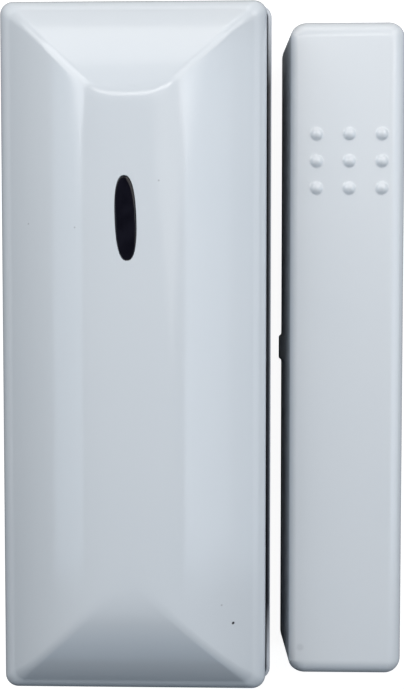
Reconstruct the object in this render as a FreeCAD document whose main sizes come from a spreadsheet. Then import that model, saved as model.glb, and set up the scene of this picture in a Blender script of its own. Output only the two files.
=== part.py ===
import FreeCAD, Part
import math
import os
from types import SimpleNamespace

import Sketcher

# A wireless magnetic door contact: a battery-powered sensor and its magnet, side by side as fitted
# across the gap of a closed door. X runs across that gap, Y along the door's edge and Z out from
# the wall. The origin is the middle of the sensor's back face.

# Driving dimensions in millimetres, and one angle in degrees.
SIZES = {
    # Sensor housing: a tray, and a hipped cover that drops inside the tray's lip.
    "sensor_length": 81,
    "sensor_width": 32,
    "sensor_height": 24,
    "tray_height": 11.5,
    "tray_wall": 1.9,
    "tray_floor": 1.8,
    "tray_corner": 1.5,
    "tray_inside_corner": 0.8,
    "tray_edge_round": 0.3,
    "tray_foot_round": 0.3,
    "lip_height": 2,
    "lip_thickness": 0.4,
    "cover_gap": 0.3,
    "cover_wall": 1.6,
    "cover_corner": 1.8,
    "eave_height": 17,
    "eave_round": 1.5,
    "hip_run": 11.2,
    "hip_bulge": 0.75,
    "crown_rise": 0.18,
    "wall_screw_pitch": 70.6,
    "wall_screw_bore": 3.8,
    # Snap tabs that hold the cover down.
    "tab_width": 7,
    "tab_thickness": 1,
    "tab_reach": 3.6,
    "tab_root": 2.2,
    "tab_gap": 0.2,
    "tab_offset": 20,
    "nib_reach": 0.6,
    "nib_height": 1.2,
    "nib_land": 0.3,
    "nib_lift": 0.5,
    "nib_clearance": 0.25,
    # Window over the status lamp.
    "window_width": 2.25,
    "window_length": 9.1,
    "window_end_radius": 0.8,
    "window_offset": 14.56,
    "window_clearance": 0.05,
    "window_sink": 0.04,
    "window_flange": 1.2,
    "window_flange_thickness": 0.8,
    "light_guide_diameter": 2.2,
    "light_guide_gap": 0.3,
    # Circuit board and what holds it.
    "board_length": 62,
    "board_width": 25.4,
    "board_thickness": 1.6,
    "board_corner": 1.5,
    "board_post_height": 2,
    "board_post_diameter": 4.4,
    "board_post_x": 10.2,
    "board_post_y": 28,
    "board_screw_bore": 2.3,
    "screw_pilot": 1.6,
    "screw_pilot_depth": 1.9,
    "screw_shank": 1.6,
    "screw_shank_below_board": 1.8,
    "screw_head": 3.8,
    "screw_head_height": 1.5,
    "screw_slot_width": 0.6,
    "screw_slot_depth": 0.6,
    "peg_diameter": 2,
    "peg_height": 2.2,
    # Battery, lying in two sprung clips.
    "battery_diameter": 15.6,
    "battery_length": 26,
    "battery_edge_round": 0.6,
    "battery_nub_diameter": 6,
    "battery_nub_height": 1,
    "battery_centre": -15.5,
    "clip_metal": 0.4,
    "clip_gap": 0.05,
    "clip_width": 4,
    "clip_rise": 3.5,
    "clip_strap_width": 6,
    "clip_plate_width": 9,
    "clip_foot": 1.6,
    # Reed switch beside the battery, opposite the middle of the magnet.
    "reed_diameter": 2.2,
    "reed_length": 14,
    "reed_x": 10.2,
    "reed_lift": 0.5,
    "reed_lead_diameter": 0.6,
    "reed_lead_run": 2.4,
    # Tamper switch under a post of the cover.
    "tamper_offset": 24.5,
    "tamper_width": 6,
    "tamper_height": 3.8,
    "tamper_corner": 0.6,
    "plunger_diameter": 3,
    "plunger_clearance": 0.08,
    "plunger_depth": 2,
    "plunger_stand": 1.5,
    "plunger_travel": 0.5,
    "plunger_round": 0.4,
    "cover_post_diameter": 3.2,
    "cover_post_gap": 0.02,
    # Parts on the board.
    "antenna_wire": 0.8,
    "antenna_length": 44,
    "antenna_x": 11.1,
    "antenna_lift": 3,
    "chip_width": 7,
    "chip_height": 0.9,
    "chip_round": 0.2,
    "chip_x": -5.4,
    "chip_y": 7.4,
    "can_width": 7,
    "can_height": 1.8,
    "can_round": 0.5,
    "can_x": -6.8,
    "can_y": 19.6,
    "crystal_length": 11,
    "crystal_width": 4.6,
    "crystal_height": 3.4,
    "crystal_corner": 2,
    "crystal_round": 0.5,
    "crystal_flange": 0.4,
    "crystal_x": 6.2,
    "crystal_y": 19.4,
    "capacitor_diameter": 5,
    "capacitor_height": 6.4,
    "capacitor_groove": 0.3,
    "capacitor_groove_height": 1.4,
    "capacitor_x": 5.6,
    "capacitor_y": 5.8,
    "header_pitch": 2.54,
    "header_block": 2.5,
    "header_pin": 0.64,
    "header_pin_height": 8.4,
    "header_x": 10.9,
    "header_y": 18.4,
    "jumper_height": 4.6,
    "jumper_clearance": 0.1,
    "lamp_width": 2.8,
    "lamp_length": 3.2,
    "lamp_base": 0.7,
    "lamp_dome": 0.6,
    "lamp_dome_foot": 2.2,
    "lamp_dome_top": 1.6,
    "small_part_length": 1.6,
    "small_part_width": 0.8,
    "small_part_height": 0.5,
    # Magnet unit.
    "pair_gap": 1.8,
    "magnet_width": 14.5,
    "magnet_length": 79.2,
    "magnet_height": 12.2,
    "magnet_shift": -0.6,
    "magnet_corner": 2.4,
    "magnet_inside_corner": 0.9,
    "magnet_lean": 0.49,
    "magnet_wall": 1.5,
    "magnet_edge_round": 1.9,
    "magnet_base_thickness": 1.8,
    "magnet_base_clearance": 0.15,
    "magnet_nib_width": 6,
    "magnet_nib_reach": 0.4,
    "magnet_nib_height": 0.8,
    "magnet_nib_ramp": 0.4,
    "magnet_nib_lift": 0.2,
    "magnet_nib_gap": 0.1,
    "magnet_nib_spacing": 44,
    "magnet_screw_pitch": 60,
    "magnet_screw_bore": 3.4,
    "magnet_bar_length": 24,
    "magnet_bar_width": 6,
    "magnet_bar_height": 5,
    "magnet_rib_width": 1.2,
    "magnet_rib_gap": 0.2,
    "cradle_wall": 1,
    "cradle_height": 3,
    "cradle_clearance": 0.1,
    "grip_diameter": 1.5,
    "grip_height": 0.4,
    "grip_pitch_across": 3.85,
    "grip_pitch_along": 3.18,
    "grip_shift_across": 0.1,
    "grip_shift_along": 22.65,
    "mark_length": 3.1,
    "mark_reach": 0.33,
    "mark_height": 5,
    "mark_shift": 0.1,
}

# How far a cutting shape runs past what it cuts.
BEYOND = 1

# Small resistors and capacitors on the board: x, y, and whether each lies along Y.
SMALL_PARTS = [
    (-9.4, 13.2, False),
    (-7, 13.2, False),
    (-4.6, 13.2, False),
    (4.4, 10.4, True),
    (6.4, 10.4, True),
    (-3.6, 26, True),
    (-3.6, 29, False),
    (3.6, 29, False),
    (-8.6, 2.6, False),
    (-5.8, 2.6, False),
]

doc = FreeCAD.newDocument("DoorContact")
sheet = doc.addObject("Spreadsheet::Sheet", "Sizes")
for row, (name, number) in enumerate(SIZES.items(), start=1):
    sheet.set(f"A{row}", name)
    sheet.set(f"B{row}", str(number))
    sheet.setAlias(f"B{row}", name)
doc.recompute()


class Size:
    """A length worked out from the sheet: its formula over the sheet's cells, and its value."""

    def __init__(self, formula, value):
        self.formula = formula
        self.value = value

    def __add__(self, other):
        other = as_size(other)
        return Size(f"({self.formula} + {other.formula})", self.value + other.value)

    def __sub__(self, other):
        other = as_size(other)
        return Size(f"({self.formula} - {other.formula})", self.value - other.value)

    def __mul__(self, other):
        other = as_size(other)
        return Size(f"({self.formula} * {other.formula})", self.value * other.value)

    def __truediv__(self, other):
        other = as_size(other)
        return Size(f"({self.formula} / {other.formula})", self.value / other.value)

    def __neg__(self):
        return Size(f"(-1 * {self.formula})", -self.value)

    def __radd__(self, other):
        return as_size(other) + self

    def __rsub__(self, other):
        return as_size(other) - self

    def __rmul__(self, other):
        return as_size(other) * self


def as_size(number):
    return number if isinstance(number, Size) else Size(str(number), float(number))


def root(square):
    return Size(f"sqrt({square.formula})", math.sqrt(square.value))


size = SimpleNamespace(**{name: Size(f"Sizes.{name}", float(number)) for name, number in SIZES.items()})

# Places that several pieces share.
inner_half_width = size.sensor_width / 2 - size.tray_wall
cover_half_width = size.sensor_width / 2 - size.lip_thickness - size.cover_gap
cover_half_length = size.sensor_length / 2 - size.lip_thickness - size.cover_gap
ledge_z = size.tray_height - size.lip_height
hip_top = size.sensor_height - size.crown_rise
hip_rise = hip_top - size.eave_height
hip_slope = hip_rise / size.hip_run
hip_stretch = root(hip_slope * hip_slope + 1)
ceiling_z = hip_top - size.cover_wall
board_bottom = size.tray_floor + size.board_post_height
board_top = board_bottom + size.board_thickness
battery_radius = size.battery_diameter / 2
battery_z = board_top + size.clip_metal + size.clip_gap + battery_radius
plunger_top = board_top + size.tamper_height + size.plunger_stand
magnet_x = size.sensor_width / 2 + size.pair_gap + size.magnet_width / 2
magnet_base_width = size.magnet_width - (size.magnet_wall + size.magnet_base_clearance) * 2
magnet_base_length = size.magnet_length - (size.magnet_wall + size.magnet_base_clearance) * 2
magnet_nib_top = size.magnet_nib_lift + size.magnet_nib_height

pieces = []


def keep(shape_object, name):
    """Names a finished sub-part and puts it on the list of files to write."""
    shape_object.Label = name
    pieces.append(shape_object)
    return shape_object


def bind(thing, **formulas):
    """Ties properties of a document object to sizes; a double underscore stands for a dot."""
    for prop, value in formulas.items():
        thing.setExpression(prop.replace("__", "."), as_size(value).formula)


def place(thing, x=0, y=0, z=0):
    bind(thing, Placement__Base__x=x, Placement__Base__y=y, Placement__Base__z=z)
    return thing


def new_body(name):
    return doc.addObject("PartDesign::Body", name)


def new_sketch(body, name, role="XY_Plane", lift=0):
    """A sketch on one of the body's origin planes, lifted along that plane's normal."""
    sketch = body.newObject("Sketcher::SketchObject", name)
    plane = [feature for feature in body.Origin.OriginFeatures if feature.Role == role][0]
    sketch.AttachmentSupport = [(plane, "")]
    sketch.MapMode = "FlatFace"
    bind(sketch, AttachmentOffset__Base__z=lift)
    return sketch


def fix_point(sketch, item, end, x, y):
    """Holds one end (1 or 2) or the centre (3) of a sketch item at x, y."""
    for direction, value in (("DistanceX", as_size(x)), ("DistanceY", as_size(y))):
        number = sketch.addConstraint(Sketcher.Constraint(direction, -1, 1, item, end, value.value))
        sketch.setExpression(f"Constraints[{number}]", value.formula)


def fix_radius(sketch, item, radius):
    number = sketch.addConstraint(Sketcher.Constraint("Radius", item, radius.value))
    sketch.setExpression(f"Constraints[{number}]", radius.formula)


def arc_between(start, end, radius, outward):
    """The short arc from start to end; outward puts its centre on the left of that direction."""
    chord = end - start
    left = FreeCAD.Vector(-chord.y, chord.x, 0).normalize()
    height = math.sqrt(max(radius * radius - chord.Length**2 / 4, 0))
    centre = (start + end) / 2 + left * (height if outward else -height)
    first, last = (start, end) if outward else (end, start)
    from_angle = math.atan2(first.y - centre.y, first.x - centre.x)
    to_angle = math.atan2(last.y - centre.y, last.x - centre.x)
    if to_angle < from_angle:
        to_angle += 2 * math.pi
    circle = Part.Circle(centre, FreeCAD.Vector(0, 0, 1), radius)
    return Part.ArcOfCircle(circle, from_angle, to_angle)


def draw(sketch, corners, arcs=None):
    """A closed outline through corners, anticlockwise. arcs gives, for the number of the corner that
    an arc leaves, its radius and whether it bulges outwards."""
    arcs = arcs or {}
    spots = [(as_size(x), as_size(y)) for x, y in corners]
    points = [FreeCAD.Vector(x.value, y.value, 0) for x, y in spots]
    items = []
    for number, start in enumerate(points):
        end = points[(number + 1) % len(points)]
        if number in arcs:
            radius, outward = arcs[number]
            item = sketch.addGeometry(arc_between(start, end, radius.value, outward), False)
            items.append((item, 1, 2) if outward else (item, 2, 1))
        else:
            items.append((sketch.addGeometry(Part.LineSegment(start, end), False), 1, 2))
    for number, (item, first, last) in enumerate(items):
        following, its_first, its_last = items[(number + 1) % len(items)]
        sketch.addConstraint(Sketcher.Constraint("Coincident", item, last, following, its_first))
        fix_point(sketch, item, first, *spots[number])
        if number in arcs:
            fix_radius(sketch, item, arcs[number][0])
    return sketch


def draw_circle(sketch, x, y, radius):
    x, y, radius = as_size(x), as_size(y), as_size(radius)
    circle = Part.Circle(FreeCAD.Vector(x.value, y.value, 0), FreeCAD.Vector(0, 0, 1), radius.value)
    item = sketch.addGeometry(circle, False)
    fix_point(sketch, item, 3, x, y)
    fix_radius(sketch, item, radius)
    return sketch


def draw_rectangle(sketch, low_x, high_x, low_y, high_y):
    return draw(sketch, [(low_x, low_y), (high_x, low_y), (high_x, high_y), (low_x, high_y)])


def draw_rounded(sketch, width, length, corner, middle_x=0, middle_y=0):
    """A rectangle with quarter-circle corners."""
    right, left = middle_x + width / 2, middle_x - width / 2
    top, bottom = middle_y + length / 2, middle_y - length / 2
    corners = [
        (left + corner, bottom),
        (right - corner, bottom),
        (right, bottom + corner),
        (right, top - corner),
        (right - corner, top),
        (left + corner, top),
        (left, top - corner),
        (left, bottom + corner),
    ]
    return draw(sketch, corners, {number: (corner, True) for number in (1, 3, 5, 7)})


def draw_oval(sketch, width, length, end_radius, middle_y):
    """An oval of four tangent arcs: two long ones along Y and two short ones at the ends."""
    half, reach = width / 2, length / 2 - end_radius
    side_radius = (half * half + reach * reach - end_radius * end_radius) / ((half - end_radius) * 2)
    share = end_radius / (side_radius - end_radius)
    join_x = share * (side_radius - half)
    join_y = reach + share * reach
    corners = [
        (join_x, middle_y - join_y),
        (join_x, middle_y + join_y),
        (-join_x, middle_y + join_y),
        (-join_x, middle_y - join_y),
    ]
    arcs = {0: (side_radius, True), 1: (end_radius, True), 2: (side_radius, True), 3: (end_radius, True)}
    return draw(sketch, corners, arcs)


def raise_up(body, sketch, length, symmetric=False, reverse=False, taper=None):
    """Pads a sketch, and checks that the body grew."""
    before = body.Shape.Volume if body.Shape.Solids else 0
    feature = body.newObject("PartDesign::Pad", sketch.Name + "_pad")
    feature.Profile = sketch
    feature.SideType = "Symmetric" if symmetric else "One side"
    feature.Reversed = reverse
    bind(feature, Length=length)
    if taper is not None:
        bind(feature, TaperAngle=taper)
    doc.recompute()
    if body.Shape.Volume <= before:
        raise RuntimeError(f"{feature.Name} adds nothing")
    return feature


def hollow(body, sketch, length, symmetric=False, taper=None, reverse=False):
    """Pockets a sketch, against its plane's normal unless reversed, and checks that the body shrank."""
    before = body.Shape.Volume
    feature = body.newObject("PartDesign::Pocket", sketch.Name + "_pocket")
    feature.Profile = sketch
    feature.SideType = "Symmetric" if symmetric else "One side"
    feature.Reversed = reverse
    bind(feature, Length=length)
    if taper is not None:
        bind(feature, TaperAngle=taper)
    doc.recompute()
    if body.Shape.Volume >= before:
        raise RuntimeError(f"{feature.Name} cuts nothing")
    return feature


def spin(body, sketch, axis_role):
    """Revolves a sketch a full turn about one of the body's origin axes."""
    feature = body.newObject("PartDesign::Revolution", sketch.Name + "_turned")
    feature.Profile = sketch
    axis = [line for line in body.Origin.OriginFeatures if line.Role == axis_role][0]
    feature.ReferenceAxis = (axis, [""])
    feature.Angle = 360
    doc.recompute()
    return feature


def round_edges(body, chosen, radius, name):
    """Fillets those edges of the body for which chosen(edge) is true."""
    tip = body.Tip
    names = [f"Edge{number}" for number, edge in enumerate(tip.Shape.Edges, start=1) if chosen(edge)]
    if not names:
        raise RuntimeError(f"{name} finds no edges")
    feature = body.newObject("PartDesign::Fillet", name)
    feature.Base = (tip, names)
    bind(feature, Radius=radius)
    doc.recompute()
    return feature


def flat_at(height):
    """Chooses edges that lie wholly at one height."""
    def chosen(edge):
        box = edge.BoundBox
        return abs(box.ZMin - height.value) < 0.001 and abs(box.ZMax - height.value) < 0.001
    return chosen


def block(name, across, along, tall, x, y, bottom):
    """A box whose middle is over x, y and whose underside is at bottom."""
    box = doc.addObject("Part::Box", name)
    bind(box, Length=across, Width=along, Height=tall)
    return place(box, x - across / 2, y - along / 2, bottom)


def post(name, radius, tall, x, y, bottom):
    cylinder = doc.addObject("Part::Cylinder", name)
    bind(cylinder, Radius=radius, Height=tall)
    return place(cylinder, x, y, bottom)


def rod(name, radius, length, x, start_y, z):
    """A cylinder along Y."""
    cylinder = doc.addObject("Part::Cylinder", name)
    cylinder.Placement = FreeCAD.Placement(FreeCAD.Vector(), FreeCAD.Rotation(FreeCAD.Vector(1, 0, 0), -90))
    bind(cylinder, Radius=radius, Height=length)
    return place(cylinder, x, start_y, z)


def ball(name, radius, x, y, z):
    sphere = doc.addObject("Part::Sphere", name)
    bind(sphere, Radius=radius)
    return place(sphere, x, y, z)


def joined(name, shapes):
    fusion = doc.addObject("Part::MultiFuse", name)
    fusion.Shapes = shapes
    fusion.Refine = True
    return fusion


def less(name, base, tool):
    difference = doc.addObject("Part::Cut", name)
    difference.Base = base
    difference.Tool = tool
    return difference


def group(name, shapes):
    """Separate solids kept in one node."""
    compound = doc.addObject("Part::Compound", name)
    compound.Links = shapes
    return compound


def hipped_block(body, half_width, half_length, corner, foot, eave, run, top, crown=None, rounding=None):
    """A block with a roof that slopes on all four sides: one profile runs the block's length, a second
    cuts its ends to the same slope so that the creases mitre at 45 degrees, and the plan's corners are
    rounded. Slopes swell by hip_bulge at mid-span, the flat top arches by crown, and the eaves are
    rounded by rounding."""
    slope = (top - eave) / run
    stretch = root(slope * slope + 1)
    setback = rounding * (stretch - slope) if rounding else as_size(0)
    eave_in, eave_up = setback / stretch, setback * slope / stretch
    chord_across, chord_up = run - eave_in, top - eave - eave_up
    chord_squared = chord_across * chord_across + chord_up * chord_up
    swell = size.hip_bulge
    slope_arc = (chord_squared / 4 + swell * swell) / (swell * 2)

    half_crown = half_width - run
    wall_top = eave - setback
    end_profile = [
        (-half_width, foot),
        (half_width, foot),
        (half_width, wall_top),
        (half_width - eave_in, eave + eave_up),
        (half_crown, top),
        (-half_crown, top),
        (-half_width + eave_in, eave + eave_up),
        (-half_width, wall_top),
    ]
    bends = {3: (slope_arc, True), 5: (slope_arc, True)}
    if rounding:
        bends[2] = bends[6] = (rounding, True)
    else:
        del end_profile[7], end_profile[2]
        bends = {2: (slope_arc, True), 4: (slope_arc, True)}
    if crown:
        bends[4] = ((half_crown * half_crown + crown * crown) / (crown * 2), True)
    across = new_sketch(body, body.Name + "_end_profile", "XZ_Plane")
    raise_up(body, draw(across, end_profile, bends), half_length * 2, symmetric=True)

    over = size.crown_rise * 2
    ridge_end = half_length - run - over / slope
    along = new_sketch(body, body.Name + "_end_slopes", "YZ_Plane")
    removed = [
        (half_length, wall_top),
        (half_length + BEYOND, wall_top),
        (half_length + BEYOND, top + over),
        (ridge_end, top + over),
        (half_length - run, top),
        (half_length - eave_in, eave + eave_up),
    ]
    bends = {4: (slope_arc, False)}
    if rounding:
        bends[5] = (rounding, False)
    else:
        del removed[5]
    last = len(removed) - 1
    draw(along, removed, bends)
    mirrored_bends = {last - 1 - number if number < last else last: bend for number, bend in bends.items()}
    draw(along, [(-y, z) for y, z in removed][::-1], mirrored_bends)
    hollow(body, along, half_width * 4, symmetric=True)

    plan = new_sketch(body, body.Name + "_plan", lift=foot)
    far_x, far_y = half_width + BEYOND, half_length + BEYOND
    draw_rectangle(plan, -far_x, far_x, -far_y, far_y)
    draw_rounded(plan, half_width * 2, half_length * 2, corner)
    hollow(body, plan, size.sensor_height, reverse=True)


def sensor_base():
    body = new_body("sensor_base")
    outline = new_sketch(body, "tray_outline")
    draw_rounded(outline, size.sensor_width, size.sensor_length, size.tray_corner)
    raise_up(body, outline, size.tray_height)
    round_edges(body, flat_at(size.tray_height), size.tray_edge_round, "tray_rim_round")
    round_edges(body, flat_at(as_size(0)), size.tray_foot_round, "tray_foot_round")

    inside = new_sketch(body, "tray_inside", lift=size.tray_height)
    inner_length = size.sensor_length - size.tray_wall * 2
    draw_rounded(inside, inner_half_width * 2, inner_length, size.tray_inside_corner)
    hollow(body, inside, size.tray_height - size.tray_floor)

    lip = new_sketch(body, "tray_lip", lift=size.tray_height)
    inset = size.lip_thickness
    width, length = size.sensor_width - inset * 2, size.sensor_length - inset * 2
    hollow(body, draw_rounded(lip, width, length, size.tray_corner - inset), size.lip_height)

    posts = new_sketch(body, "board_posts", lift=size.tray_floor)
    pegs = new_sketch(body, "board_pegs", lift=size.tray_floor)
    pilots = new_sketch(body, "screw_pilots", lift=board_bottom)
    for across in (1, -1):
        for along in (1, -1):
            x, y = across * size.board_post_x, along * size.board_post_y
            draw_circle(posts, x, y, size.board_post_diameter / 2)
            if across == along:
                draw_circle(pilots, x, y, size.screw_pilot / 2)
            else:
                draw_circle(pegs, x, y, size.peg_diameter / 2)
    raise_up(body, posts, size.board_post_height)
    raise_up(body, pegs, size.board_post_height + size.peg_height)
    hollow(body, pilots, size.screw_pilot_depth)

    bores = new_sketch(body, "wall_screw_bores", lift=size.tray_floor)
    for along in (1, -1):
        draw_circle(bores, 0, along * size.wall_screw_pitch / 2, size.wall_screw_bore / 2)
    hollow(body, bores, size.tray_floor)

    gap = size.nib_clearance
    catches = new_sketch(body, "nib_recesses", lift=nib_top() + gap)
    deep = inner_half_width - size.tab_gap + size.nib_reach + gap
    for across in (1, -1):
        for along in (1, -1):
            y = along * size.tab_offset
            low, high = y - size.tab_width / 2 - gap, y + size.tab_width / 2 + gap
            shallow = inner_half_width - gap
            if across == 1:
                draw_rectangle(catches, shallow, deep, low, high)
            else:
                draw_rectangle(catches, -deep, -shallow, low, high)
    hollow(body, catches, size.nib_height + gap * 2)
    keep(body, "sensor_base")


def nib_top():
    return ledge_z - size.tab_reach + size.nib_lift + size.nib_height


def sensor_cover():
    core = new_body("cover_core")
    drop = size.cover_wall * (hip_stretch - 1)
    core_half_width = cover_half_width - size.cover_wall
    core_half_length = cover_half_length - size.cover_wall
    core_eave = size.eave_height + size.cover_wall * hip_slope - size.cover_wall * hip_stretch
    core_run = size.hip_run - size.cover_wall + drop / hip_slope
    below = ledge_z - BEYOND
    core_corner = size.cover_corner / 2
    hipped_block(core, core_half_width, core_half_length, core_corner, below, core_eave, core_run, ceiling_z)

    body = new_body("sensor_cover")
    hipped_block(
        body,
        cover_half_width,
        cover_half_length,
        size.cover_corner,
        ledge_z,
        size.eave_height,
        size.hip_run,
        hip_top,
        crown=size.crown_rise,
        rounding=size.eave_round,
    )
    before = body.Shape.Volume
    shell = body.newObject("PartDesign::Boolean", "cover_shell")
    shell.setObjects([core])
    shell.Type = "Cut"
    body.Tip = shell
    doc.recompute()
    if body.Shape.Volume >= before:
        raise RuntimeError("the cover isn't hollow")

    opening = new_sketch(body, "window_opening", lift=size.sensor_height + BEYOND)
    draw_oval(
        opening,
        size.window_width + size.window_clearance * 2,
        size.window_length + size.window_clearance * 2,
        size.window_end_radius + size.window_clearance,
        size.window_offset,
    )
    hollow(body, opening, size.sensor_height + BEYOND - ceiling_z)

    face = inner_half_width - size.tab_gap
    tab_foot = ledge_z - size.tab_reach
    for along in (1, -1):
        tabs = new_sketch(body, "snap_tabs", "XZ_Plane", lift=-along * size.tab_offset)
        right = [
            (face - size.tab_thickness, tab_foot),
            (face, tab_foot),
            (face, tab_foot + size.nib_lift),
            (face + size.nib_reach, nib_top() - size.nib_land),
            (face + size.nib_reach, nib_top()),
            (face, nib_top()),
            (face, ledge_z + size.tab_root),
            (face - size.tab_thickness, ledge_z + size.tab_root),
        ]
        draw(tabs, right)
        draw(tabs, [(-x, z) for x, z in right][::-1])
        raise_up(body, tabs, size.tab_width, symmetric=True)

    presser = new_sketch(body, "tamper_post", lift=plunger_top + size.cover_post_gap)
    draw_circle(presser, 0, size.tamper_offset, size.cover_post_diameter / 2)
    raise_up(body, presser, ceiling_z + size.crown_rise - plunger_top - size.cover_post_gap)
    keep(body, "sensor_cover")


def window_lens():
    """A smoked oval lens let into the crown, with a flange under it and a light guide down to the lamp."""
    body = new_body("window_lens")
    lamp_top = board_top + size.lamp_base + size.lamp_dome
    flange_bottom = ceiling_z - size.window_flange_thickness
    flange = new_sketch(body, "lens_flange", lift=flange_bottom)
    wide, long = size.window_width + size.window_flange * 2, size.window_length + size.window_flange * 2
    draw_oval(flange, wide, long, size.window_end_radius + size.window_flange, size.window_offset)
    raise_up(body, flange, size.window_flange_thickness)
    pane = new_sketch(body, "lens_pane", lift=flange_bottom)
    draw_oval(pane, size.window_width, size.window_length, size.window_end_radius, size.window_offset)
    raise_up(body, pane, size.sensor_height - size.window_sink - flange_bottom)
    guide = new_sketch(body, "light_guide", lift=lamp_top + size.light_guide_gap)
    draw_circle(guide, 0, size.window_offset, size.light_guide_diameter / 2)
    raise_up(body, guide, flange_bottom - lamp_top - size.light_guide_gap)
    keep(body, "window_lens")


def circuit_board():
    body = new_body("circuit_board")
    outline = new_sketch(body, "board_outline", lift=board_bottom)
    draw_rounded(outline, size.board_width, size.board_length, size.board_corner)
    raise_up(body, outline, size.board_thickness)
    bores = new_sketch(body, "board_bores", lift=board_top)
    for across in (1, -1):
        for along in (1, -1):
            draw_circle(
                bores, across * size.board_post_x, along * size.board_post_y, size.board_screw_bore / 2
            )
    hollow(body, bores, size.board_thickness)
    keep(body, "circuit_board")


def board_screws():
    """Two slotted pan-head screws through the board into its posts, at opposite corners."""
    screws = []
    for side in (1, -1):
        x, y = side * size.board_post_x, side * size.board_post_y
        shank_length = size.board_thickness + size.screw_shank_below_board
        shank = post("screw_shank", size.screw_shank / 2, shank_length, x, y, board_top - shank_length)
        head = post("screw_head", size.screw_head / 2, size.screw_head_height, x, y, board_top)
        slot_bottom = board_top + size.screw_head_height - size.screw_slot_depth
        wide, deep = size.screw_slot_width, size.screw_slot_depth
        slot = block("screw_slot", size.screw_head * 2, wide, deep, x, y, slot_bottom)
        screws.append(less("board_screw", joined("screw_blank", [shank, head]), slot))
    keep(group("board_screw_pair", screws), "board_screws")


def battery_cell():
    """A sealed round cell, turned about its axis along Y, with its raised terminal towards +Y."""
    body = new_body("battery_cell")
    profile = new_sketch(body, "cell_profile")
    radius, edge = battery_radius, size.battery_edge_round
    back, front = -size.battery_length / 2, size.battery_length / 2
    nub = size.battery_nub_diameter / 2
    corners = [
        (0, back),
        (radius - edge, back),
        (radius, back + edge),
        (radius, front - edge),
        (radius - edge, front),
        (nub, front),
        (nub, front + size.battery_nub_height),
        (0, front + size.battery_nub_height),
    ]
    draw(profile, corners, {1: (edge, True), 3: (edge, True)})
    spin(body, profile, "Y_Axis")
    place(body, 0, size.battery_centre, battery_z)
    keep(body, "battery_cell")


def battery_clips():
    """Two folded spring clips. Each has arms that hug the cell, a strap under it, an end plate against
    its terminal and a foot on the board."""
    inner = battery_radius + size.clip_gap
    outer = inner + size.clip_metal
    rise = size.clip_rise
    inner_tip = root(inner * inner - rise * rise)
    outer_tip = root(outer * outer - rise * rise)
    tip_z = battery_z + rise
    nub = size.battery_nub_height
    for name, end, terminal in (("battery_positive_clip", 1, nub), ("battery_negative_clip", -1, 0)):
        body = new_body(name)
        arms_y = size.battery_centre + end * (size.battery_length - size.clip_width) / 2
        arms = new_sketch(body, name + "_arms", "XZ_Plane", lift=-arms_y)
        outline = [
            (0, battery_z - outer),
            (outer_tip, tip_z),
            (inner_tip, tip_z),
            (0, battery_z - inner),
            (-inner_tip, tip_z),
            (-outer_tip, tip_z),
        ]
        draw(arms, outline, {0: (outer, True), 2: (inner, False), 3: (inner, False), 5: (outer, True)})
        raise_up(body, arms, size.clip_width, symmetric=True)

        plate_y = size.battery_centre + end * (size.battery_length / 2 + terminal + size.clip_gap)
        plate_back = plate_y + end * size.clip_metal
        strap_top = board_top + size.clip_metal
        strap = new_sketch(body, name + "_strap", "YZ_Plane")
        arms_end = arms_y - end * size.clip_width / 2
        draw_rectangle(strap, arms_end, plate_back + end * size.clip_foot, board_top, strap_top)
        raise_up(body, strap, size.clip_strap_width, symmetric=True)
        plate = new_sketch(body, name + "_plate", "YZ_Plane")
        draw_rectangle(plate, plate_y, plate_back, board_top, tip_z)
        raise_up(body, plate, size.clip_plate_width, symmetric=True)
        keep(body, name)


def reed_switch():
    """A sealed glass capsule along Y, with a lead out of each end that is bent down to the board."""
    radius, half, lead = size.reed_diameter / 2, size.reed_length / 2, size.reed_lead_diameter / 2
    z = board_top + size.reed_lift + radius
    shoulder = radius - size.reed_lead_diameter
    body = new_body("reed_glass")
    profile = new_sketch(body, "reed_profile")
    corners = [
        (0, -half),
        (size.reed_lead_diameter, -half),
        (radius, shoulder - half),
        (radius, half - shoulder),
        (size.reed_lead_diameter, half),
        (0, half),
    ]
    draw(profile, corners, {1: (shoulder, True), 3: (shoulder, True)})
    spin(body, profile, "Y_Axis")
    place(body, size.reed_x, 0, z)
    keep(body, "reed_glass")

    leads = []
    for side in (1, -1):
        bend_y = side * (half + size.reed_lead_run)
        start_y = half if side == 1 else bend_y
        run = rod("lead_run", lead, size.reed_lead_run, size.reed_x, start_y, z)
        bend = ball("lead_bend", lead, size.reed_x, bend_y, z)
        drop = post("lead_drop", lead, z - board_top, size.reed_x, bend_y, board_top)
        leads.append(joined("reed_lead", [run, bend, drop]))
    keep(group("reed_lead_pair", leads), "reed_leads")


def tamper_switch():
    """A square switch with a round plunger, held part way down by the cover's post."""
    body = new_body("tamper_switch")
    case = new_sketch(body, "switch_case", lift=board_top)
    width = size.tamper_width
    draw_rounded(case, width, width, size.tamper_corner, 0, size.tamper_offset)
    raise_up(body, case, size.tamper_height)
    case_top = board_top + size.tamper_height
    radius = size.plunger_diameter / 2
    bore = new_sketch(body, "switch_bore", lift=case_top)
    draw_circle(bore, 0, size.tamper_offset, radius + size.plunger_clearance)
    hollow(body, bore, size.plunger_depth + size.plunger_travel + size.plunger_clearance)
    keep(body, "tamper_switch")

    plunger = new_body("tamper_plunger")
    profile = new_sketch(plunger, "plunger_profile", "XZ_Plane")
    foot, edge = case_top - size.plunger_depth, size.plunger_round
    corners = [
        (0, foot),
        (radius, foot),
        (radius, plunger_top - edge),
        (radius - edge, plunger_top),
        (0, plunger_top),
    ]
    draw(profile, corners, {2: (edge, True)})
    spin(plunger, profile, "Z_Axis")
    place(plunger, 0, size.tamper_offset, 0)
    keep(plunger, "tamper_plunger")


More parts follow.
